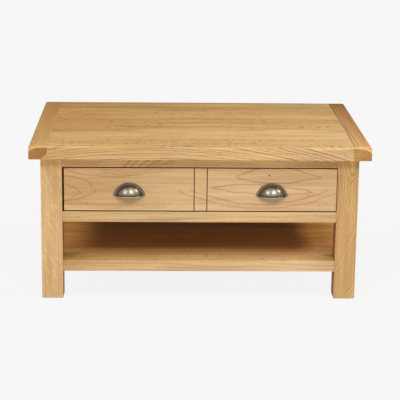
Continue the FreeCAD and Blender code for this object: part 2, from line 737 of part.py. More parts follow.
def wood_screws(label, length, places, directions):
    screw_group(label, "wood_screw_head_radius", "wood_screw_head_height", "wood_screw_radius", length,
                places, directions)


def screws():
    upward = (0, 0, 1)
    top_places = [(f"{sign} * runner_x", y, "opening_top + counterbore_depth")
                  for sign in SIDES.values() for y in top_screw_places()]
    wood_screws("top_screws", "top_rail_height - counterbore_depth + wood_screw_bite",
                top_places, [upward] * len(top_places))
    shelf_places = [(x, shelf_board_middle(number), "foot_clearance + counterbore_depth")
                    for x in ("-cleat_x", "0", "cleat_x") for number in range(1, SHELF_BOARDS + 1)]
    wood_screws("shelf_screws", "cleat_height - counterbore_depth + shelf_screw_bite",
                shelf_places, [upward] * len(shelf_places))
    runner_places = []
    runner_directions = []
    for sign in SIDES.values():
        for y in runner_screw_places():
            runner_places.append((f"{sign} * (clear_x - runner_width + counterbore_depth)", y, "runner_z"))
            runner_directions.append((sign, 0, 0))
    wood_screws("runner_screws", "runner_width - counterbore_depth + wood_screw_bite",
                runner_places, runner_directions)
    pull_places = [(f"drawer_drift + {sign} * pull_x + {post} * boss_spacing / 2", "-front_rear",
                    "pull_z + boss_rise") for sign in SIDES.values() for post in SIDES.values()]
    screw_group("pull_screws", "pull_screw_head_radius", "pull_screw_head_height", "pull_screw_radius",
                "drawer_front_thickness + pull_thread_depth - screw_fit",
                pull_places, [(0, -1, 0)] * len(pull_places))
    bottom_places = [(f"drawer_drift + {x}", y, "groove_bottom + bottom_screw_head_height")
                     for x, y in bottom_screw_places()]
    screw_group("drawer_bottom_screws", "bottom_screw_head_radius", "bottom_screw_head_height",
                "bottom_screw_radius", "drawer_bottom_thickness - bottom_screw_head_height + bottom_screw_bite",
                bottom_places, [upward] * len(bottom_places))


# The whole table

for board_number in range(1, TOP_BOARDS + 1):
    top_board(board_number)
for side_name, side_sign in SIDES.items():
    breadboard_end(side_name, side_sign)
for row_name, row_sign in ENDS.items():
    for side_name, side_sign in SIDES.items():
        leg(row_name, row_sign, side_name, side_sign)
rails()
for board_number in range(1, SHELF_BOARDS + 1):
    shelf_board(board_number)
shelf_bearer("shelf_batten", "batten_width", "0")
for side_name, side_sign in SIDES.items():
    shelf_bearer(f"shelf_cleat_{side_name}", "cleat_width", f"{side_sign} * cleat_x")
    drawer_runner(side_name, side_sign)
    drawer_guide(side_name, side_sign)
    kicker(side_name, side_sign)
    drawer_stop(side_name, side_sign)
drawer_front()
drawer_back()
drawer_bottom()
for side_name, side_sign in SIDES.items():
    drawer_side(side_name, side_sign)
    cup_pull(side_name, side_sign)
screws()
doc.recompute()

# Every feature must have come out whole before anything is written
for feature in doc.Objects:
    if {"Invalid", "Error"} & set(feature.State):
        raise RuntimeError(f"{feature.Label} failed: {feature.State}")
for sub_part in sub_parts:
    if sub_part.Shape.isNull() or not sub_part.Shape.isValid():
        raise RuntimeError(f"{sub_part.Label} has no valid shape")

os.makedirs("parts", exist_ok=True)
for sub_part in sub_parts:
    sub_part.Shape.exportStep(os.path.join("parts", sub_part.Label + ".step"))
print(len(sub_parts), "sub-parts written")
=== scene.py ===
import bpy
import math
from mathutils import Matrix, Vector


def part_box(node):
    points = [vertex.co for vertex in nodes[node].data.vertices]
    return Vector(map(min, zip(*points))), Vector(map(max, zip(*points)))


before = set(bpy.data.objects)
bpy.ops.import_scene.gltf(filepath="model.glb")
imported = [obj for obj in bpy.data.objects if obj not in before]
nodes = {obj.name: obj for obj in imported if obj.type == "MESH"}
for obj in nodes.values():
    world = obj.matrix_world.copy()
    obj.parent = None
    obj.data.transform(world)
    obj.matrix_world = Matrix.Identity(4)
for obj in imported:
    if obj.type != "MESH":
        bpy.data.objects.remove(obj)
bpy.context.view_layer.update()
print("frame loaded:", len(nodes), "nodes")

scene = bpy.context.scene
scene.view_settings.view_transform = "Standard"

# Camera: stands in front, a little to the left, and looks slightly down
viewPoint = {
    "place": (-0.119084, -4.287168, 1.325285),
    "yaw": -0.029908,      # radians, turned to the right of straight ahead
    "pitch": 0.253735,     # radians below level
    "roll": 0.012029,
    "focalPixels": 1471.659,
    "framePixels": 400,
    "sensorWidth": 36.0,
}


def makeCamera(settings):
    yaw, pitch, roll = settings["yaw"], settings["pitch"], settings["roll"]
    level = Vector((-math.sin(yaw), math.cos(yaw), 0))
    up = Vector((0, 0, 1))
    sideways = Vector((math.cos(yaw), math.sin(yaw), 0))
    ahead = math.cos(pitch) * level - math.sin(pitch) * up
    upward = math.sin(pitch) * level + math.cos(pitch) * up
    right = math.cos(roll) * sideways + math.sin(roll) * upward
    top = -math.sin(roll) * sideways + math.cos(roll) * upward
    data = bpy.data.cameras.new("photoCamera")
    data.sensor_width = settings["sensorWidth"]
    data.lens = settings["focalPixels"] * settings["sensorWidth"] / settings["framePixels"]
    camera = bpy.data.objects.new("photoCamera", data)
    turn = Matrix((right, top, -ahead)).transposed()
    camera.matrix_world = Matrix.Translation(settings["place"]) @ turn.to_4x4()
    scene.collection.objects.link(camera)
    scene.camera = camera


makeCamera(viewPoint)

# Light: soft lamps before the table and at its two ends, in an even pale room. Angles are in degrees.
lampDistance = 4
lamps = {
    "frontLeft": {"azimuth": -34, "elevation": 39, "strength": 0.8, "spread": 14},
    "frontRight": {"azimuth": 20, "elevation": 44, "strength": 1.25, "spread": 22},
    "frontLow": {"azimuth": -5, "elevation": 8, "strength": 0.2, "spread": 40, "mirrored": False},
    "endLeft": {"azimuth": -78, "elevation": 42, "strength": 1.1, "spread": 17, "mirrored": False},
    "endRight": {"azimuth": 78, "elevation": 43, "strength": 1.35, "spread": 17},
}


def makeLamp(name, settings):
    azimuth = math.radians(settings["azimuth"])
    elevation = math.radians(settings["elevation"])
    away = Vector((math.sin(azimuth) * math.cos(elevation),
                   -math.cos(azimuth) * math.cos(elevation), math.sin(elevation)))
    data = bpy.data.lights.new(name, "SUN")
    data.energy = settings["strength"]
    data.angle = math.radians(settings["spread"])
    lamp = bpy.data.objects.new(name, data)
    lamp.location = away * lampDistance
    lamp.visible_glossy = settings.get("mirrored", True)
    lamp.rotation_mode = "QUATERNION"
    lamp.rotation_quaternion = (-away).to_track_quat("-Z", "Y")
    scene.collection.objects.link(lamp)


for lampName, lampSettings in lamps.items():
    makeLamp(lampName, lampSettings)
print("camera and lamps made")


# Node helpers: each adds to a node tree, and takes a number, a colour or another node's output as a value
def addNode(tree, kind, **settings):
    node = tree.nodes.new(kind)
    for key, value in settings.items():
        setattr(node, key, value)
    return node


def feed(tree, socket, value):
    if isinstance(value, bpy.types.NodeSocket):
        tree.links.new(value, socket)
    else:
        socket.default_value = value


def feedAll(tree, sockets, values):
    for socket, value in zip(sockets, values):
        feed(tree, socket, value)


def calc(tree, operation, *values, clamp=False):
    node = addNode(tree, "ShaderNodeMath", operation=operation, use_clamp=clamp)
    feedAll(tree, node.inputs, values)
    return node.outputs[0]


def vectorCalc(tree, operation, *values):
    node = addNode(tree, "ShaderNodeVectorMath", operation=operation)
    feedAll(tree, node.inputs, values)
    return node.outputs[0]


def ramp(tree, value, low, high, toLow=0.0, toHigh=1.0, smooth=True):
    node = addNode(tree, "ShaderNodeMapRange", interpolation_type="SMOOTHSTEP" if smooth else "LINEAR")
    feedAll(tree, node.inputs, (value, low, high, toLow, toHigh))
    return node.outputs[0]


mixSockets = {"factor": 0, "first": 6, "second": 7, "result": 2}    # a Mix node's, for colours


def mixColour(tree, factor, first, second, blend="MIX"):
    node = addNode(tree, "ShaderNodeMix", data_type="RGBA", blend_type=blend)
    feed(tree, node.inputs[mixSockets["factor"]], factor)
    feed(tree, node.inputs[mixSockets["first"]], first)
    feed(tree, node.inputs[mixSockets["second"]], second)
    return node.outputs[mixSockets["result"]]


def tinted(tree, colour, tint, share):
    return mixColour(tree, share, colour, (*tint, 1.0), "MULTIPLY")


def scaleColour(tree, colour, factor):
    node = addNode(tree, "ShaderNodeVectorMath", operation="SCALE")
    feed(tree, node.inputs[0], colour)
    feed(tree, node.inputs["Scale"], factor)
    return node.outputs[0]


# Lighter by the amount where the share is 1, and darker if the amount is negative
def lightened(tree, colour, share, amount):
    return scaleColour(tree, colour, ramp(tree, share, 0, 1, 1.0, 1 + amount, smooth=False))


# Darker and lighter by the amount as a pattern goes through its span
def varied(tree, colour, pattern, span, amount):
    return scaleColour(tree, colour, ramp(tree, pattern, *span, 1 - amount, 1 + amount))


def noise(tree, vector, stretch, detail=2.0, roughness=0.5):
    node = addNode(tree, "ShaderNodeTexNoise")
    tree.links.new(vectorCalc(tree, "MULTIPLY", vector, stretch), node.inputs["Vector"])
    node.inputs["Scale"].default_value = 1.0
    node.inputs["Detail"].default_value = detail
    node.inputs["Roughness"].default_value = roughness
    return node.outputs["Fac"]


def evenNoise(tree, vector, stretch):
    return calc(tree, "SUBTRACT", noise(tree, vector, stretch), 0.5)    # about 0, to either side


def separate(tree, vector):
    node = addNode(tree, "ShaderNodeSeparateXYZ")
    feed(tree, node.inputs[0], vector)
    return node.outputs


def combine(tree, *values):
    node = addNode(tree, "ShaderNodeCombineXYZ")
    feedAll(tree, node.inputs, values)
    return node.outputs[0]


def newGroup(name, vectors, numbers, results):
    tree = bpy.data.node_groups.new(name, "ShaderNodeTree")
    for label in vectors:
        tree.interface.new_socket(label, in_out="INPUT", socket_type="NodeSocketVector")
    for label in numbers:
        tree.interface.new_socket(label, in_out="INPUT", socket_type="NodeSocketFloat")
    for label in results:
        tree.interface.new_socket(label, in_out="OUTPUT", socket_type="NodeSocketFloat")
    return tree, addNode(tree, "NodeGroupInput").outputs, addNode(tree, "NodeGroupOutput").inputs


def useGroup(tree, group, values):
    node = addNode(tree, "ShaderNodeGroup", node_tree=group)
    feedAll(tree, node.inputs, values)
    return node.outputs


def shade(grey):
    return (grey, grey, grey, 1.0)


# Screen levels from 0 to 255, turned into linear light by the usual screen curve
def srgb(red, green, blue):
    def linear(level):
        level = level / 255
        return level / 12.92 if level <= 0.04045 else ((level + 0.055) / 1.055) ** 2.4
    return (linear(red), linear(green), linear(blue), 1.0)


# Room: white where the camera or a shiny surface sees it, and a dim even light on the table
room = {"light": 0.14, "background": 0.922}


def seenWhite(tree):
    rays = addNode(tree, "ShaderNodeLightPath").outputs
    mirrored = calc(tree, "MAXIMUM", rays["Is Glossy Ray"], rays["Is Transmission Ray"])
    return calc(tree, "MAXIMUM", rays["Is Camera Ray"], mirrored)


def makeRoom():
    world = bpy.data.worlds.new("paleRoom")
    world.use_nodes = True
    scene.world = world
    tree = world.node_tree
    background = tree.nodes["Background"]
    background.inputs["Color"].default_value = shade(1.0)
    strength = ramp(tree, seenWhite(tree), 0, 1, room["light"], room["background"], smooth=False)
    tree.links.new(strength, background.inputs["Strength"])


# Floor: pale and matt, it keeps a light shadow of the table
floor = {"halfSize": 30.0, "paint": 0.9, "glow": 0.95, "glowLevel": 0.924}


def makeFloor():
    half = floor["halfSize"]
    corners = [(-half, -half, 0), (half, -half, 0), (half, half, 0), (-half, half, 0)]
    mesh = bpy.data.meshes.new("floor")
    mesh.from_pydata(corners, [], [(0, 1, 2, 3)])
    plane = bpy.data.objects.new("floor", mesh)
    scene.collection.objects.link(plane)
    material = bpy.data.materials.new("paleFloor")
    material.use_nodes = True
    tree = material.node_tree
    tree.nodes.clear()
    matt = addNode(tree, "ShaderNodeBsdfDiffuse")
    matt.inputs["Color"].default_value = shade(floor["paint"])
    glow = addNode(tree, "ShaderNodeEmission")
    glow.inputs["Color"].default_value = shade(floor["glowLevel"])
    mix = addNode(tree, "ShaderNodeMixShader")
    share = calc(tree, "MULTIPLY", seenWhite(tree), floor["glow"])
    feedAll(tree, mix.inputs, (share, matt.outputs[0], glow.outputs[0]))
    output = addNode(tree, "ShaderNodeOutputMaterial")
    tree.links.new(mix.outputs[0], output.inputs["Surface"])
    mesh.materials.append(material)


makeRoom()
makeFloor()
print("room and floor made")


def paint(nodeName, material):
    mesh = nodes[nodeName].data
    mesh.materials.clear()
    mesh.materials.append(material)


def newMaterial(name, roughness, specular=0.5, metallic=0.0):
    material = bpy.data.materials.new(name)
    material.use_nodes = True
    tree = material.node_tree
    shader = tree.nodes["Principled BSDF"]
    shader.inputs["Roughness"].default_value = roughness
    shader.inputs["Specular IOR Level"].default_value = specular
    shader.inputs["Metallic"].default_value = metallic
    return material, tree, shader


# Figure: one pointed growth line on a face. Its reach is (distance along / half length) to a power, plus
# distance across / half width; the line lies where the reach is 1, sharp inside and fading outwards.
# The upper and the lower branch have their own strengths.
figureInputs = ("Along", "Across", "Middle along", "Middle across", "Half length", "Half width",
                "Tilt", "Power", "Fade", "Upper", "Lower")
figureShape = {
    "start": -0.0022,      # metres beyond the line where its darkness starts
    "crest": -0.0002,      # and where it is full
    "branch": 0.001,       # metres to each side over which the two branches meet
    "inside": (0.3, 1.1),  # reach over which the area within the line fades out
}


def growthLine(middle, half, tilt=0.0, power=2.0, fade=0.005, upper=1.0, lower=1.0):
    return (*middle, *half, tilt, power, fade, upper, lower)


def buildFigure():
    tree, given, result = newGroup("growthFigure", (), figureInputs, ("Line", "Inside"))
    along = calc(tree, "SUBTRACT", given["Along"], given["Middle along"])
    across = calc(tree, "SUBTRACT", given["Across"], given["Middle across"])
    across = calc(tree, "SUBTRACT", across, calc(tree, "MULTIPLY", along, given["Tilt"]))
    lengthShare = calc(tree, "DIVIDE", calc(tree, "ABSOLUTE", along), given["Half length"])
    widthShare = calc(tree, "DIVIDE", calc(tree, "ABSOLUTE", across), given["Half width"])
    reach = calc(tree, "ADD", calc(tree, "POWER", lengthShare, given["Power"]), widthShare)
    beyond = calc(tree, "MULTIPLY", calc(tree, "SUBTRACT", reach, 1.0), given["Half width"])
    rise = ramp(tree, beyond, figureShape["start"], figureShape["crest"])
    fall = ramp(tree, beyond, figureShape["crest"], given["Fade"], 1.0, 0.0)
    meeting = figureShape["branch"]
    branch = ramp(tree, across, -meeting, meeting, given["Lower"], given["Upper"])
    line = calc(tree, "MULTIPLY", calc(tree, "MULTIPLY", rise, fall), branch)
    inside = ramp(tree, reach, *figureShape["inside"], 1.0, 0.0)
    feedAll(tree, result, (line, inside))
    return tree


# Oak grain: growth rings are circles round a pith line that runs along the board, slopes and bends,
# so a face that cuts them flat shows arches. Slow noise makes them wander, and each has its own weight.
# Pores are fine dashes in the dark part of a ring, fibres are long thin streaks, bands and tones are wider
# ones, and flecks are small dark pips in clusters.
grainInputs = ("Seed", "Ring width", "Ring fade", "Wander", "Pith across", "Pith depth",
               "Slope across", "Slope depth", "Bend across", "Bend depth")
grainWaves = {             # per metre along, across and into the board
    "slow": (2.4, 13, 13),
    "quick": (14, 110, 110),
    "pore": (75, 2400, 2400),
    "fibre": (5, 300, 300),
    "band": (4.5, 60, 60),
    "tone": (1.6, 16, 16),
    "pip": (70, 120, 120),
    "cluster": (7, 26, 26),
}
grainShape = {
    "seedAside": 0.37,          # shift across the board that goes with a shift of 1 along it
    "seedRings": 3.7,           # sets the rings' weights apart from board to board
    "quick": 0.5,               # reach of the quick noise, in rings
    "unevenWaves": (0.45, 1, 1),   # per ring
    "uneven": 1.6,              # how far rings crowd and spread, in rings
    "darkFrom": 0.86,           # share of a ring where its dark line starts to rise
    "weights": (0.45, 1.0),     # weakest and strongest ring
    "poreSpan": (0.54, 0.68),
    "poresBetween": 0.25,       # strength of the pores between dark lines
    "pipSpan": (0.6, 0.68),
    "clusterSpan": (0.38, 0.54),
}


def ringCount(tree, given, spot):
    along, across, depth = separate(tree, given["Place"])
    square = 0.0
    for distance, label in ((across, "across"), (depth, "depth")):
        pith = calc(tree, "MULTIPLY_ADD", along, given["Slope " + label], given["Pith " + label])
        bend = calc(tree, "MULTIPLY", calc(tree, "MULTIPLY", along, along), given["Bend " + label])
        gap = calc(tree, "SUBTRACT", distance, calc(tree, "ADD", pith, bend))
        square = calc(tree, "MULTIPLY_ADD", gap, gap, square)
    radius = calc(tree, "SQRT", square)
    slow = evenNoise(tree, spot, grainWaves["slow"])
    quick = evenNoise(tree, spot, grainWaves["quick"])
    quickReach = calc(tree, "MULTIPLY", given["Ring width"], grainShape["quick"])
    radius = calc(tree, "MULTIPLY_ADD", slow, given["Wander"], radius)
    radius = calc(tree, "MULTIPLY_ADD", quick, quickReach, radius)
    rings = calc(tree, "DIVIDE", radius, given["Ring width"])
    uneven = noise(tree, combine(tree, rings, given["Seed"], 0.0), grainShape["unevenWaves"], detail=0.0)
    return calc(tree, "MULTIPLY_ADD", uneven, grainShape["uneven"], rings)


def buildOakGrain():
    results = ("Ring", "Pore", "Fibre", "Band", "Tone", "Fleck")
    tree, given, result = newGroup("oakGrain", ("Place",), grainInputs, results)
    aside = calc(tree, "MULTIPLY", given["Seed"], grainShape["seedAside"])
    spot = vectorCalc(tree, "ADD", given["Place"], combine(tree, given["Seed"], aside, 0.0))
    rings = ringCount(tree, given, spot)
    phase = calc(tree, "FRACT", rings)
    rising = ramp(tree, phase, grainShape["darkFrom"], 1.0)
    fading = ramp(tree, phase, 0.0, given["Ring fade"], 1.0, 0.0)
    dark = calc(tree, "MAXIMUM", rising, fading)
    chance = addNode(tree, "ShaderNodeTexWhiteNoise", noise_dimensions="1D")
    ringNumber = calc(tree, "ROUND", rings)
    ringSeed = calc(tree, "MULTIPLY_ADD", given["Seed"], grainShape["seedRings"], ringNumber)
    tree.links.new(ringSeed, chance.inputs["W"])
    weight = ramp(tree, chance.outputs["Value"], 0, 1, *grainShape["weights"], smooth=False)
    between = grainShape["poresBetween"]
    dash = ramp(tree, noise(tree, spot, grainWaves["pore"], detail=1.0), *grainShape["poreSpan"])
    pips = ramp(tree, noise(tree, spot, grainWaves["pip"], detail=1.0), *grainShape["pipSpan"])
    clusters = ramp(tree, noise(tree, spot, grainWaves["cluster"]), *grainShape["clusterSpan"])
    feedAll(tree, result, (
        calc(tree, "MULTIPLY", dark, weight),
        calc(tree, "MULTIPLY", dash, calc(tree, "MULTIPLY_ADD", dark, 1 - between, between)),
        noise(tree, spot, grainWaves["fibre"], detail=3.0, roughness=0.6),
        noise(tree, spot, grainWaves["band"], detail=4.0, roughness=0.65),
        noise(tree, spot, grainWaves["tone"]),
        calc(tree, "MULTIPLY", pips, clusters),
    ))
    return tree


growthFigure = buildFigure()
oakGrain = buildOakGrain()

# Finish that all the oak shares: colours as seen in even light, strengths from 0 to 1
oakFinish = {
    "light": srgb(216, 179, 128),
    "deep": srgb(200, 159, 107),
    "line": srgb(166, 116, 68),
    "pore": srgb(112, 72, 38),
    "fleck": srgb(146, 95, 52),
    "endGrain": (0.62, 0.52, 0.43, 1.0),
    "roughness": 0.55,
    "poreRoughness": 0.15,      # added in pores
    "ringRoughness": 0.06,      # added in the dark lines
    "specular": 0.035,
    "poreDepth": 0.00012,
    "poreBump": 0.5,
    "poreStrength": 0.5,
    "toneSpan": (0.28, 0.72),   # part of each noise over which the colour changes
    "fibreSpan": (0.32, 0.68),
    "bandSpan": (0.35, 0.65),
    "endRings": 0.3,            # share of the rings' strength that is left on cut ends
    "rearEnd": 0.6,             # strength of the end grain at the far end
    "knotWaver": (0.004, 0.002),
}
# Part of a normal that points a certain way, where an effect starts and where it is full
turnSpans = {
    "cutEnd": (0.95, 0.985),
    "upwardRings": (0.2, 0.6),
    "flecks": (0.5, 0.9),
    "level": (0.5, 0.8),
    "leaning": (0.06, 0.25),
    "rising": (0.45, 0.7),
    "paintedShade": (0.6, 0.9),
}
# Distances in metres: how far grooves are set back behind a front, and how wide a joint's line is
edgeSpans = {"setBack": (0.0005, 0.0012), "grooveEnd": (0.006, 0.008), "joint": (0.002, 0.005)}

# A board, unless its own entry says otherwise. Lengths are in metres, strengths from 0 to 1.
plainTint = (1.0, 1.0, 1.0)
plainBoard = {
    "grain": "x",               # the axis that the grain runs along
    "seed": 0.0,
    "ringWidth": 0.0045,
    "ringFade": 0.5,            # share of a ring over which its dark line fades
    "wander": 0.012,            # how far rings stray from circles
    "pith": (0.0, -0.12),       # place of the pith across and into the board, from its middle
    "slope": (0.0, 0.0),        # shift of the pith for each metre along the board
    "bend": (0.0, 0.0),         # and for each metre squared
    "rings": 0.45,
    "upwardRings": 1.0,         # share of the rings and pores left on faces turned upwards
    "lineDepth": 0.0,           # further darkening in the lines
    "fibre": 0.09,
    "bands": 0.06,
    "flecks": 0.0,
    "rays": 0.0,
    "figures": (),              # growth lines drawn one by one
    "knots": (),
    "across": 2,                # how a figure's width lies: 1 across the board, 2 into it
    "figureStrength": 0.4,
    "waver": (0.03, 0.006),     # how far figures stray along and across
    "gloss": oakFinish["specular"],
    "tint": plainTint,          # stain at the near end
    "farTint": None,            # and at the far end, where it differs
    "crossTint": plainTint,     # further stain that grows across the board
    "upwardLightTint": plainTint,    # painted light: a further tint on faces turned upwards, apart from the other faces
    "upwardLightEdge": (0.8, 0.99),  # upward part of the normal where it starts, and where it is full
    "stainAndLightPatches": (),              # areas with a further tint, given as figures: stain on some boards, painted light on others
    "stainAndLightTint": plainTint,
    "paintedShadeFaces": (),          # faces with painted shade, each as an axis and 1 or -1
    "paintedShadeTint": plainTint,
    "grooveShade": 0.0,             # painted shade in the grooves of a front
    "jointLine": 0.0,           # darkening along the rear edge
    "arris": 0.0,               # painted light on rounded upper edges: shade if positive, a highlight if negative
    "endGrain": oakFinish["endGrain"],
    "roundEnd": None,           # -1 or 1: the side to which the end grain's border is rounded
    "lightCorner": None,        # a straight border, past which the end grain is pale
}
axisNumber = {"x": 0, "y": 1, "z": 2}


# Where a point is on its board: distances from the middle along the grain, across and into the board, the
# board's half sizes in that order, the way that the face points, and whether it is a cut end
def boardSite(tree, nodeName, grain):
    low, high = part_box(nodeName)
    first = axisNumber[grain]
    order = [first] + [number for number in range(3) if number != first]
    coordinate = addNode(tree, "ShaderNodeTexCoord").outputs["Object"]
    fromMiddle = separate(tree, vectorCalc(tree, "SUBTRACT", coordinate, (low + high) / 2))
    halfSize = (high - low) / 2
    normals = separate(tree, addNode(tree, "ShaderNodeNewGeometry").outputs["Normal"])
    return {
        "parts": [fromMiddle[number] for number in order],
        "half": [halfSize[number] for number in order],
        "normals": normals,
        "cutEnd": ramp(tree, calc(tree, "ABSOLUTE", normals[first]), *turnSpans["cutEnd"]),
    }


# From 0 at one end or edge of the board to 1 at the other
def edgeToEdge(tree, site, number):
    half = site["half"][number]
    return ramp(tree, site["parts"][number], -half, half, smooth=False)


def grainDetail(tree, site, board):
    place = combine(tree, *site["parts"])
    rings = (board["seed"], board["ringWidth"], board["ringFade"], board["wander"])
    return useGroup(tree, oakGrain, (place, *rings, *board["pith"], *board["slope"], *board["bend"]))


# Growth lines drawn one by one: the place is bent a little by noise, so that they waver
figureWaves = {"along": (16, 30, 30), "across": (13, 50, 50)}


def figureLines(tree, site, width, figures, waver):
    if not figures:
        return []
    parts = site["parts"]
    spot = combine(tree, *parts)
    bendAlong = evenNoise(tree, spot, figureWaves["along"])
    bendAcross = evenNoise(tree, spot, figureWaves["across"])
    along = calc(tree, "MULTIPLY_ADD", bendAlong, waver[0], parts[0])
    across = calc(tree, "MULTIPLY_ADD", bendAcross, waver[1], parts[width])
    return [useGroup(tree, growthFigure, (along, across, *figure)) for figure in figures]


# Rays: pale thin streaks that cross the grain at a slant, where a face lies nearly along the tree's radius
rayPattern = {"slant": 0.51, "along": 28, "across": 190, "span": (0.56, 0.68)}


def rayStreaks(tree, parts):
    turned = math.cos(rayPattern["slant"])
    leaned = math.sin(rayPattern["slant"])
    along = calc(tree, "MULTIPLY_ADD", parts[0], -turned, calc(tree, "MULTIPLY", parts[1], leaned))
    across = calc(tree, "MULTIPLY_ADD", parts[0], leaned, calc(tree, "MULTIPLY", parts[1], turned))
    waves = (rayPattern["along"], rayPattern["across"], rayPattern["along"])
    streaks = noise(tree, combine(tree, along, across, parts[2]), waves, detail=1.0)
    return ramp(tree, streaks, *rayPattern["span"])


# Colour of the wood itself: tone, rings, figures, knots, pores, flecks, fibres, bands and rays
def grainColour(tree, board, site, given, ring, pore):
    finish = oakFinish
    tone = ramp(tree, given["Tone"], *finish["toneSpan"])
    colour = mixColour(tree, tone, finish["deep"], finish["light"])
    ringShare = ramp(tree, site["cutEnd"], 0, 1, board["rings"], finish["endRings"] * board["rings"])
    dark = calc(tree, "MULTIPLY", ring, ringShare)
    for figure in figureLines(tree, site, board["across"], board["figures"], board["waver"]):
        line = calc(tree, "MULTIPLY", figure["Line"], board["figureStrength"])
        dark = calc(tree, "MAXIMUM", dark, line)
    colour = mixColour(tree, dark, colour, finish["line"])
    if board["lineDepth"]:
        colour = lightened(tree, colour, dark, -board["lineDepth"])
    for knot in figureLines(tree, site, board["across"], board["knots"], finish["knotWaver"]):
        colour = mixColour(tree, knot["Inside"], colour, finish["pore"])
    colour = mixColour(tree, calc(tree, "MULTIPLY", pore, finish["poreStrength"]), colour, finish["pore"])
    if board["flecks"]:
        upward = ramp(tree, site["normals"][2], *turnSpans["flecks"], 0.0, board["flecks"])
        colour = mixColour(tree, calc(tree, "MULTIPLY", given["Fleck"], upward), colour, finish["fleck"])
    colour = varied(tree, colour, given["Fibre"], finish["fibreSpan"], board["fibre"])
    colour = varied(tree, colour, given["Band"], finish["bandSpan"], board["bands"])
    if board["rays"]:
        colour = lightened(tree, colour, rayStreaks(tree, site["parts"]), board["rays"])
    return colour


# Stain: from end to end and across the board; painted light on upward faces; stain and painted light in
# patches
def stainAndLightColour(tree, board, site, colour):
    nearTint = board["tint"]
    farTint = board["farTint"] or nearTint
    stain = mixColour(tree, edgeToEdge(tree, site, 0), (*nearTint, 1.0), (*farTint, 1.0))
    colour = mixColour(tree, 1.0, colour, stain, "MULTIPLY")
    colour = tinted(tree, colour, board["crossTint"], edgeToEdge(tree, site, 1))
    upward = ramp(tree, site["normals"][2], *board["upwardLightEdge"])
    colour = tinted(tree, colour, board["upwardLightTint"], upward)
    for patch in figureLines(tree, site, board["across"], board["stainAndLightPatches"], board["waver"]):
        colour = tinted(tree, colour, board["stainAndLightTint"], patch["Inside"])
    return colour


# Dark edges: painted shade in the grooves of a front, the joint with the next board, and painted light on
# the rounding of an upper edge
def edgeColour(tree, board, site, colour):
    across = site["parts"][1]
    halfWidth = site["half"][1]
    normals = site["normals"]
    if board["grooveShade"]:
        behind = calc(tree, "ADD", across, halfWidth)
        setBack = ramp(tree, behind, *edgeSpans["setBack"])
        inFront = ramp(tree, behind, *edgeSpans["grooveEnd"], 1.0, 0.0)
        upright = ramp(tree, calc(tree, "ABSOLUTE", normals[2]), *turnSpans["level"], 1.0, 0.0)
        inGroove = calc(tree, "MULTIPLY", calc(tree, "MULTIPLY", setBack, inFront), upright)
        colour = lightened(tree, colour, inGroove, -board["grooveShade"])
    if board["jointLine"]:
        toJoint = calc(tree, "SUBTRACT", halfWidth, across)
        atJoint = ramp(tree, toJoint, *edgeSpans["joint"], 1 - board["jointLine"], 1.0)
        colour = scaleColour(tree, colour, atJoint)
    if board["arris"]:
        leaning = ramp(tree, calc(tree, "ABSOLUTE", normals[1]), *turnSpans["leaning"])
        rounding = calc(tree, "MULTIPLY", leaning, ramp(tree, normals[2], *turnSpans["rising"]))
        colour = lightened(tree, colour, rounding, -board["arris"])
    return colour


# Rounded border of the end grain towards the outer top corner: an ellipse, on which the reach is 1.
# Past the border runs a painted highlight along the rim.
endCorner = {"halfWidth": 0.035, "halfHeight": 0.016, "inward": 0.0095, "below": 0.002,
             "border": (0.96, 1.04), "rimStart": (1.0, 1.1), "rimStop": (1.15, 1.4), "rimHighlight": 0.35}


def roundReach(tree, parts, outward):
    sideways = calc(tree, "MULTIPLY_ADD", parts[1], outward, endCorner["inward"])
    upwards = calc(tree, "ADD", parts[2], endCorner["below"])
    width = calc(tree, "DIVIDE", calc(tree, "MAXIMUM", sideways, 0.0), endCorner["halfWidth"])
    height = calc(tree, "DIVIDE", calc(tree, "MAXIMUM", upwards, 0.0), endCorner["halfHeight"])
    return calc(tree, "MULTIPLY_ADD", width, width, calc(tree, "MULTIPLY", height, height))


# Straight border across the end grain: strong before it, and weak on the side that its direction points to
cornerLine = {"span": (-0.001, 0.0015), "weak": 0.1}


def beforeCorner(tree, parts, start, direction):
    across = calc(tree, "MULTIPLY", calc(tree, "SUBTRACT", parts[1], start[0]), direction[0])
    depth = calc(tree, "MULTIPLY", calc(tree, "SUBTRACT", parts[2], start[1]), direction[1])
    return ramp(tree, calc(tree, "ADD", across, depth), *cornerLine["span"], 1.0, cornerLine["weak"])


# End grain: darker where the fibres are cut, with a painted highlight past a rounded border
def endColour(tree, board, site, colour):
    strength = ramp(tree, edgeToEdge(tree, site, 0), 0.5, 1.0, 1.0, oakFinish["rearEnd"])
    cutEnd = calc(tree, "MULTIPLY", site["cutEnd"], strength)
    if board["roundEnd"]:
        reach = roundReach(tree, site["parts"], board["roundEnd"])
        rimStart = ramp(tree, reach, *endCorner["rimStart"])
        rim = calc(tree, "MULTIPLY", rimStart, ramp(tree, reach, *endCorner["rimStop"], 1.0, 0.0))
        glow = calc(tree, "MULTIPLY_ADD", calc(tree, "MULTIPLY", rim, cutEnd), endCorner["rimHighlight"], 1.0)
        colour = scaleColour(tree, colour, glow)
        cutEnd = calc(tree, "MULTIPLY", cutEnd, ramp(tree, reach, *endCorner["border"], 1.0, 0.0))
    if board["lightCorner"]:
        cutEnd = calc(tree, "MULTIPLY", cutEnd, beforeCorner(tree, site["parts"], **board["lightCorner"]))
    return mixColour(tree, cutEnd, colour, board["endGrain"], "MULTIPLY")


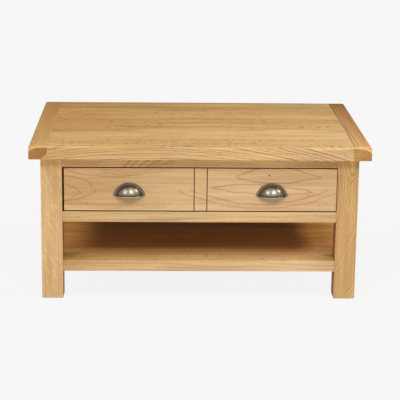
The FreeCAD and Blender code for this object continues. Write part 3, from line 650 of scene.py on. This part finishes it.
def oakMaterial(nodeName, **ownSettings):
    board = {**plainBoard, **ownSettings}
    finish = oakFinish
    material, tree, shader = newMaterial("oak_" + nodeName, finish["roughness"], board["gloss"])
    site = boardSite(tree, nodeName, board["grain"])
    given = grainDetail(tree, site, board)
    upwardShare = ramp(tree, site["normals"][2], *turnSpans["upwardRings"], 1.0, board["upwardRings"])
    ring = calc(tree, "MULTIPLY", given["Ring"], upwardShare)
    pore = calc(tree, "MULTIPLY", given["Pore"], upwardShare)
    colour = grainColour(tree, board, site, given, ring, pore)
    colour = stainAndLightColour(tree, board, site, colour)
    colour = edgeColour(tree, board, site, colour)
    colour = endColour(tree, board, site, colour)
    # Painted shade on the faces listed for the board
    for axis, direction in board["paintedShadeFaces"]:
        turned = calc(tree, "MULTIPLY", site["normals"][axisNumber[axis]], direction)
        colour = tinted(tree, colour, board["paintedShadeTint"], ramp(tree, turned, *turnSpans["paintedShade"]))
    tree.links.new(colour, shader.inputs["Base Color"])
    rough = calc(tree, "MULTIPLY_ADD", pore, finish["poreRoughness"], finish["roughness"])
    rough = calc(tree, "MULTIPLY_ADD", ring, finish["ringRoughness"], rough)
    tree.links.new(rough, shader.inputs["Roughness"])
    bump = addNode(tree, "ShaderNodeBump", invert=True)
    bump.inputs["Strength"].default_value = finish["poreBump"]
    bump.inputs["Distance"].default_value = finish["poreDepth"]
    tree.links.new(pore, bump.inputs["Height"])
    tree.links.new(bump.outputs[0], shader.inputs["Normal"])
    paint(nodeName, material)


def oakMaterials(boards, **shared):
    for nodeName, board in boards.items():
        oakMaterial(nodeName, **{**shared, **board})


# Top: six boards, front to rear, each from another tree
topBoards = {
    "top_board_1": {"seed": 1.3, "ringWidth": 0.0085, "ringFade": 0.22, "wander": 0.006,
                    "pith": (0.0, -0.4), "slope": (0, -0.0857), "bend": (0, -0.286), "rings": 1.0,
                    "upwardRings": 0.0, "lineDepth": 0.22, "flecks": 0.65, "fibre": 0.13, "bands": 0.08,
                    # painted shade on the rounded front edge, to tone down its highlight
                    "jointLine": 0.35, "arris": 0.16,
                    "tint": (0.91, 0.92, 0.91), "farTint": (0.97, 0.99, 1.03),
                    # painted light: the top face is toned apart from the front edge
                    "upwardLightTint": (0.975, 0.935, 0.8), "upwardLightEdge": (0.5, 0.8)},
    "top_board_2": {"seed": 2.1, "bands": 0.1, "pith": (0.05, -0.09), "slope": (0.02, 0.015), "rings": 0.3,
                    "flecks": 0.2, "tint": (0.9, 0.875, 0.71), "farTint": (1.22, 1.34, 1.5),
                    "crossTint": (0.76, 0.69, 0.61)},
    "top_board_3": {"seed": 3.7, "bands": 0.09, "pith": (-0.03, -0.11), "slope": (0.03, 0.01),
                    "rings": 0.25, "flecks": 0.65, "jointLine": 0.4, "tint": (0.79, 0.69, 0.505),
                    "farTint": (0.92, 0.9, 0.75), "crossTint": (0.91, 0.905, 0.9)},
    "top_board_4": {"seed": 4.9, "bands": 0.1, "pith": (0.06, -0.10), "slope": (0.01, -0.02), "rings": 0.3,
                    "flecks": 0.4, "tint": (0.73, 0.636, 0.429), "farTint": (0.951, 0.955, 0.896),
                    "crossTint": (0.92, 0.91, 0.87)},
    "top_board_5": {"seed": 6.2, "bands": 0.15, "pith": (-0.05, -0.10), "rings": 0.25, "flecks": 0.6,
                    "tint": (0.685, 0.597, 0.42), "farTint": (0.8, 0.79, 0.665)},
    "top_board_6": {"seed": 7.4, "bands": 0.15, "pith": (0.0, -0.13), "slope": (0.0, 0.01), "rings": 0.3,
                    "tint": (0.565, 0.465, 0.277), "farTint": (0.71, 0.69, 0.55)},
}
oakMaterials(topBoards)

# Breadboard ends: grain runs front to rear. Their tops and rounded edges carry painted light
breadboardEnds = {
    "breadboard_end_left": {
        "seed": 8.3, "pith": (0.09, -0.06), "rings": 0.06, "bands": 0.03, "arris": 0.04,
        "tint": (0.92, 0.89, 0.69), "farTint": (0.585, 0.475, 0.31), "crossTint": (0.97, 0.9, 0.9),
        "upwardLightTint": (0.91, 0.91, 0.87), "endGrain": (0.58, 0.49, 0.49, 1.0), "roundEnd": -1,
        "lightCorner": {"start": (0.0235, -0.0024), "direction": (0.72, -0.69)}},
    "breadboard_end_right": {
        "seed": 9.6, "ringWidth": 0.005, "pith": (-0.06, -0.05), "rings": 0.75, "lineDepth": 0.2,
        "fibre": 0.14, "arris": -0.1,
        "tint": (1.14, 1.13, 1.08), "farTint": (0.51, 0.37, 0.2), "crossTint": (0.93, 0.83, 0.71),
        "upwardLightTint": (0.89, 0.88, 0.88), "endGrain": (0.63, 0.56, 0.47, 1.0), "roundEnd": 1},
}
oakMaterials(breadboardEnds, grain="y")

# Legs: grain runs upright. The front ones' heads have painted light; the right one has a pointed figure.
legHeadLight = growthLine((0.205, 0.0), (0.045, 0.2))
legs = {
    "leg_front_left": {
        "seed": 11.2, "pith": (0.12, -0.02), "rings": 0.16, "rays": 0.18,
        "tint": (0.865, 0.87, 0.91), "farTint": (0.96, 0.965, 0.98),
        # painted light on the head, and painted shade on the inner face
        "stainAndLightPatches": [legHeadLight], "stainAndLightTint": (1.15, 1.15, 1.08),
        "paintedShadeFaces": [("x", 1)], "paintedShadeTint": (0.6, 0.48, 0.4)},
    "leg_front_right": {
        "seed": 12.8, "ringWidth": 0.0062, "wander": 0.022, "pith": (0.16, 0.02), "slope": (0.264, 0),
        "bend": (-1.3, 0), "rings": 0.7, "lineDepth": 0.12,
        "tint": (0.875, 0.865, 0.845), "farTint": (0.86, 0.79, 0.65),
        "across": 1, "figureStrength": 0.75,
        "figures": [growthLine((0.205, 0.012), (0.045, 0.012), tilt=0.05),
                    growthLine((0.205, 0.010), (0.070, 0.020), tilt=0.05, upper=0.6, lower=0.6)],
        # painted light on the head, and painted shade on the inner face
        "stainAndLightPatches": [legHeadLight], "stainAndLightTint": (1.14, 1.2, 1.2),
        "paintedShadeFaces": [("x", -1)], "paintedShadeTint": (0.7, 0.58, 0.5)},
    "leg_rear_left": {"seed": 13.5, "pith": (-0.1, 0.05), "rings": 0.35},
    "leg_rear_right": {"seed": 14.1, "pith": (0.08, -0.07), "rings": 0.35},
}
oakMaterials(legs, grain="z")

# Rails and aprons
rails = {
    "front_top_rail": {
        "seed": 15.9, "rings": 0.4, "pith": (0.05, -0.04), "bands": 0.1,
        "tint": (1.0, 0.91, 0.85), "farTint": (0.93, 0.86, 0.76), "figureStrength": 0.8,
        "figures": [
            growthLine((-0.200, 0.000), (0.016, 0.0022), tilt=0.90, fade=0.003),
            growthLine((-0.178, 0.002), (0.018, 0.0024), tilt=0.75, fade=0.003),
            growthLine((-0.152, 0.000), (0.022, 0.0024), tilt=0.60, fade=0.003),
            growthLine((-0.120, 0.002), (0.028, 0.0022), tilt=0.45, fade=0.003, upper=0.9, lower=0.9),
            growthLine((-0.084, 0.003), (0.034, 0.0022), tilt=0.32, fade=0.003, upper=0.8, lower=0.8),
        ],
        "stainAndLightPatches": [growthLine((0.0, 0.0), (0.35, 0.2))], "stainAndLightTint": (1.22, 1.36, 1.5),
        # painted shadow on the underside, under the top
        "paintedShadeFaces": [("z", -1)], "paintedShadeTint": (0.2, 0.1, 0.06)},
    "front_drawer_rail": {
        "seed": 16.4, "rings": 0.25, "pith": (0.08, -0.03), "slope": (0, 0.03),
        "tint": (0.88, 0.9, 0.93), "farTint": (0.97, 1.01, 1.08),
        # painted shade on the top face, in the gap under the drawer
        "paintedShadeFaces": [("z", 1)], "paintedShadeTint": (0.22, 0.11, 0.07)},
    "rear_apron": {"seed": 17.7, "rings": 0.45, "pith": (-0.1, 0.02), "slope": (0.02, 0.05)},
    "shelf_rail_front": {
        "seed": 18.2, "rings": 0.25, "pith": (0.07, 0.04), "slope": (0, -0.03), "flecks": 0.7,
        "tint": (0.73, 0.7, 0.63), "farTint": (0.93, 0.94, 1.02), "crossTint": (1.45, 1.53, 1.85),
        # painted light: the top face and the upper part of its rounded edge take their own tone
        "upwardLightTint": (0.8, 0.755, 0.52), "upwardLightEdge": (0.05, 0.5),
        "stainAndLightPatches": [growthLine((0.0, 0.0), (0.36, 3.0), power=4.0)], "stainAndLightTint": (1.14, 1.19, 1.29),
        # the darker tint on the rear face takes back the crossTint there
        "paintedShadeFaces": [("y", 1)], "paintedShadeTint": (0.69, 0.65, 0.54)},
    "shelf_rail_rear": {"seed": 19.8, "rings": 0.3, "pith": (0.06, -0.05)},
}
sideRails = {
    "side_apron_left": {"seed": 21.3, "rings": 0.45, "pith": (0.1, 0.01), "slope": (0.04, 0.05)},
    "side_apron_right": {"seed": 22.6, "rings": 0.45, "pith": (-0.1, -0.02), "slope": (0.03, -0.05)},
    "shelf_rail_left": {"seed": 23.1, "rings": 0.3, "pith": (0.05, -0.05)},
    "shelf_rail_right": {"seed": 24.9, "rings": 0.3, "pith": (-0.05, -0.05)},
}
oakMaterials(rails)
oakMaterials(sideRails, grain="y")

# Shelf boards, front to rear: painted greyer, bluer middles offset the reddish bounce in the shade
shelfShared = {
    "rings": 0.35, "flecks": 0.2, "gloss": 0.0, "tint": (0.9, 0.74, 0.46), "farTint": (0.97, 0.82, 0.53),
    # painted light: the greyer, bluer middle offsets the reddish bounce light in the shade under the
    # drawer
    "stainAndLightPatches": [growthLine((0.0, 0.0), (0.34, 3.0), power=4.0)], "stainAndLightTint": (0.68, 0.82, 1.6)}
shelfBoards = {
    "shelf_board_1": {"seed": 32.3, "pith": (-0.03, -0.08), "flecks": 0.4, "tint": (0.86, 0.74, 0.62),
                      "farTint": (0.94, 0.83, 0.72), "stainAndLightPatches": ()},
    "shelf_board_2": {"seed": 34.6, "pith": (-0.01, -0.08), "tint": (0.87, 0.65, 0.43),
                      "farTint": (1.04, 0.82, 0.55), "stainAndLightTint": (0.9, 1.07, 1.6)},
    "shelf_board_3": {"seed": 36.9, "pith": (0.01, -0.08), "stainAndLightTint": (0.78, 0.93, 1.9)},
    "shelf_board_4": {"seed": 39.2, "pith": (0.03, -0.08)},
    "shelf_board_5": {"seed": 41.5, "pith": (0.05, -0.08)},
}
oakMaterials(shelfBoards, **shelfShared)

# Drawer front: one wide board with pointed figures and a small knot
drawerFront = {
    "seed": 41.2, "ringWidth": 0.011, "ringFade": 0.35, "wander": 0.012, "pith": (0.16, 0.01),
    "rings": 0.14, "fibre": 0.08, "bands": 0.06, "tint": (0.92, 0.93, 0.98), "farTint": (0.98, 1.01, 1.16),
    "stainAndLightPatches": [growthLine((0.0, 0.0), (0.28, 0.4))], "stainAndLightTint": (1.06, 1.08, 1.12),
    # painted shade on the edges, for the dark gaps round the drawer
    "paintedShadeFaces": [("x", 1), ("x", -1), ("z", 1), ("z", -1)], "paintedShadeTint": (0.66, 0.42, 0.27),
    # painted shade in the grooves
    "grooveShade": 0.62, "figureStrength": 0.62, "waver": (0.045, 0.009),
    "figures": [
        growthLine((0.210, 0.0367), (0.114, 0.029), lower=0.0),
        growthLine((0.210, 0.0367), (0.114, 0.017), upper=0.0),
        growthLine((0.176, 0.0008), (0.136, 0.014), tilt=-0.048, lower=0.9),
        growthLine((0.168, -0.0008), (0.190, 0.040), fade=0.006, upper=0.0, lower=0.8),
        growthLine((0.168, -0.0008), (0.235, 0.052), fade=0.006, upper=0.0, lower=0.6),
        growthLine((-0.387, -0.0053), (0.092, 0.042), power=4.0, fade=0.006, lower=0.0),
        growthLine((-0.387, -0.0053), (0.092, 0.027), power=3.0, fade=0.006, upper=0.0),
        growthLine((-0.387, -0.0098), (0.045, 0.025), fade=0.006, upper=0.9, lower=0.9),
        growthLine((-0.285, 0.0500), (0.085, 0.010), tilt=-0.11, fade=0.006, upper=0.6, lower=0.8),
        growthLine((-0.225, 0.0480), (0.055, 0.006), tilt=-0.09, upper=0.6, lower=0.6),
    ],
    "knots": [growthLine((0.192, 0.042), (0.0045, 0.0028), tilt=-0.2)],
}
oakMaterial("drawer_front", **drawerFront)
print("oak boards finished")

# Inner wood: plainer, bare boards of the drawer box and of the strips that carry drawer and shelf
bareWood = {"pith": (0.07, -0.03), "rings": 0.2, "tint": (1.02, 1.02, 1.0)}
shadedBesideDrawer = {"tint": (0.85, 0.64, 0.47)}    # painted shade: strips out of the light are browner
bareSeeds = {"first": 50, "step": 1.7}
bareBoards = {
    "x": {"drawer_back": {}, "drawer_stop_left": {}, "drawer_stop_right": {}},
    "y": {"drawer_side_left": {}, "drawer_side_right": {},
          "drawer_runner_left": {}, "drawer_runner_right": {},
          "drawer_guide_left": shadedBesideDrawer, "drawer_guide_right": shadedBesideDrawer,
          "kicker_left": shadedBesideDrawer, "kicker_right": shadedBesideDrawer,
          "shelf_cleat_left": {}, "shelf_cleat_right": {}, "shelf_batten": {}},
}
for grain, boards in bareBoards.items():
    for number, (nodeName, board) in enumerate(boards.items()):
        seed = bareSeeds["first"] + bareSeeds["step"] * number
        oakMaterial(nodeName, grain=grain, seed=seed, **{**bareWood, **board})

# Plywood: pale face veneer, with the layers showing as stripes on its edges
plywood = {
    **plainBoard, "seed": 61.5, "ringWidth": 0.012, "wander": 0.03, "pith": (0.05, -0.2),
    "rings": 0.25, "fibre": 0.05, "roughness": 0.6,
    "deep": srgb(214, 180, 134), "light": srgb(226, 194, 148), "layer": srgb(150, 108, 66),
    "layers": 0.5,              # strength of the stripes
    "layerPair": 0.004,         # metres for a pale and a dark layer
    "edgeSpan": (0.3, 0.6),     # upright part of the normal where edges turn into faces
}


def plyMaterial(nodeName):
    board = plywood
    material, tree, shader = newMaterial("ply_" + nodeName, board["roughness"], board["gloss"])
    site = boardSite(tree, nodeName, board["grain"])
    given = grainDetail(tree, site, board)
    colour = mixColour(tree, given["Tone"], board["deep"], board["light"])
    dark = calc(tree, "MULTIPLY", given["Ring"], board["rings"])
    colour = mixColour(tree, dark, colour, oakFinish["line"])
    colour = varied(tree, colour, given["Fibre"], oakFinish["fibreSpan"], board["fibre"])
    height = calc(tree, "ADD", site["parts"][2], site["half"][2])
    layer = calc(tree, "FRACT", calc(tree, "DIVIDE", height, board["layerPair"]))
    stripe = calc(tree, "GREATER_THAN", layer, 0.5)
    onEdge = ramp(tree, calc(tree, "ABSOLUTE", site["normals"][2]), *board["edgeSpan"], 1.0, 0.0)
    stripe = calc(tree, "MULTIPLY", stripe, calc(tree, "MULTIPLY", onEdge, board["layers"]))
    colour = mixColour(tree, stripe, colour, board["layer"])
    tree.links.new(colour, shader.inputs["Base Color"])
    paint(nodeName, material)


plyMaterial("drawer_bottom")

# Pulls: antique pewter, worn bright where it stands out, dark in the hollows and where it meets the front
# The darker ends and bottom of the dome are partly painted shade, the pale lip partly a painted highlight
pewter = {
    "worn": srgb(127, 117, 101),
    "dark": srgb(96, 86, 72),
    "flange": srgb(127, 114, 97),
    "lip": srgb(168, 159, 142),
    "roughness": (0.23, 0.39),          # of the smoothest and the roughest spots
    "mottle": (90, 90, 90),             # waves per metre
    "mottleSpan": (0.3, 0.7),
    "mottleWear": 0.5,
    "standing": 0.015,                  # metres proud of the front where the wear is full
    "sideWearAndShade": 0.5,                    # wear lost at the two ends, partly painted shade for dark reflections there
    "sidePower": 3.0,                   # how late it is lost on the way there
    "rimSpan": (0.003, 0.013),          # metres above the rim over which it darkens, partly painted shade
    "rimShadeShare": 0.4,                    # share of its colour that is left there
    "flangeEdge": (0.0022, 0.0034),     # metres proud of the front where the flange ends
    "flangeFrom": 0.012,                # metres above the rim where its patina starts to change
    "flangePatina": (0.75, 0.4),        # share of its colour at the rim and at the top
    "flangeMottle": 0.6,
    "lipEdge": (0.0022, 0.0034),        # metres above the rim where the lip ends
}


def pewterMaterial(nodeName):
    low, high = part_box(nodeName)
    middle = (low + high) / 2
    halfWidth = (high[0] - low[0]) / 2
    material, tree, shader = newMaterial("pewter_" + nodeName, pewter["roughness"][0], metallic=1.0)
    coordinate = addNode(tree, "ShaderNodeTexCoord").outputs["Object"]
    across, depth, height = separate(tree, coordinate)
    proud = calc(tree, "SUBTRACT", high[1], depth)
    fromMiddle = calc(tree, "ABSOLUTE", calc(tree, "SUBTRACT", across, middle[0]))
    sideways = calc(tree, "POWER", calc(tree, "DIVIDE", fromMiddle, halfWidth), pewter["sidePower"])
    mottle = noise(tree, coordinate, pewter["mottle"], detail=3.0)
    uneven = calc(tree, "SUBTRACT", mottle, 0.5)
    wear = ramp(tree, proud, 0.0, pewter["standing"])
    wear = calc(tree, "MULTIPLY_ADD", uneven, pewter["mottleWear"], wear)
    wear = calc(tree, "SUBTRACT", wear, calc(tree, "MULTIPLY", sideways, pewter["sideWearAndShade"]), clamp=True)
    colour = mixColour(tree, wear, pewter["dark"], pewter["worn"])
    aboveRim = calc(tree, "SUBTRACT", height, low[2])
    colour = scaleColour(tree, colour, ramp(tree, aboveRim, *pewter["rimSpan"], pewter["rimShadeShare"], 1.0))
    onFlange = ramp(tree, proud, *pewter["flangeEdge"], 1.0, 0.0)
    patina = ramp(tree, aboveRim, pewter["flangeFrom"], high[2] - low[2], *pewter["flangePatina"])
    patina = calc(tree, "MULTIPLY_ADD", mottle, pewter["flangeMottle"], patina)
    colour = mixColour(tree, onFlange, colour, scaleColour(tree, pewter["flange"][:3], patina))
    onLip = ramp(tree, aboveRim, *pewter["lipEdge"], 1.0, 0.0)
    colour = mixColour(tree, onLip, colour, pewter["lip"])
    tree.links.new(colour, shader.inputs["Base Color"])
    rough = ramp(tree, mottle, *pewter["mottleSpan"], *pewter["roughness"])
    tree.links.new(rough, shader.inputs["Roughness"])
    paint(nodeName, material)


for nodeName in ("cup_pull_left", "cup_pull_right"):
    pewterMaterial(nodeName)

# Screws: zinc plated steel, faintly clouded
zincPlate = {
    "dark": srgb(150, 150, 146),
    "light": srgb(205, 203, 196),
    "roughness": (0.28, 0.45),
    "cloud": (300, 300, 300),           # waves per metre
    "cloudSpan": (0.3, 0.7),
}


def screwMaterial(nodeName):
    material, tree, shader = newMaterial("steel_" + nodeName, zincPlate["roughness"][0], metallic=1.0)
    coordinate = addNode(tree, "ShaderNodeTexCoord").outputs["Object"]
    cloud = noise(tree, coordinate, zincPlate["cloud"])
    colour = mixColour(tree, cloud, zincPlate["dark"], zincPlate["light"])
    tree.links.new(colour, shader.inputs["Base Color"])
    rough = ramp(tree, cloud, *zincPlate["cloudSpan"], *zincPlate["roughness"])
    tree.links.new(rough, shader.inputs["Roughness"])
    paint(nodeName, material)


for nodeName in ("top_screws", "runner_screws", "shelf_screws", "pull_screws", "drawer_bottom_screws"):
    screwMaterial(nodeName)
print("inner wood, plywood, pulls and screws finished")
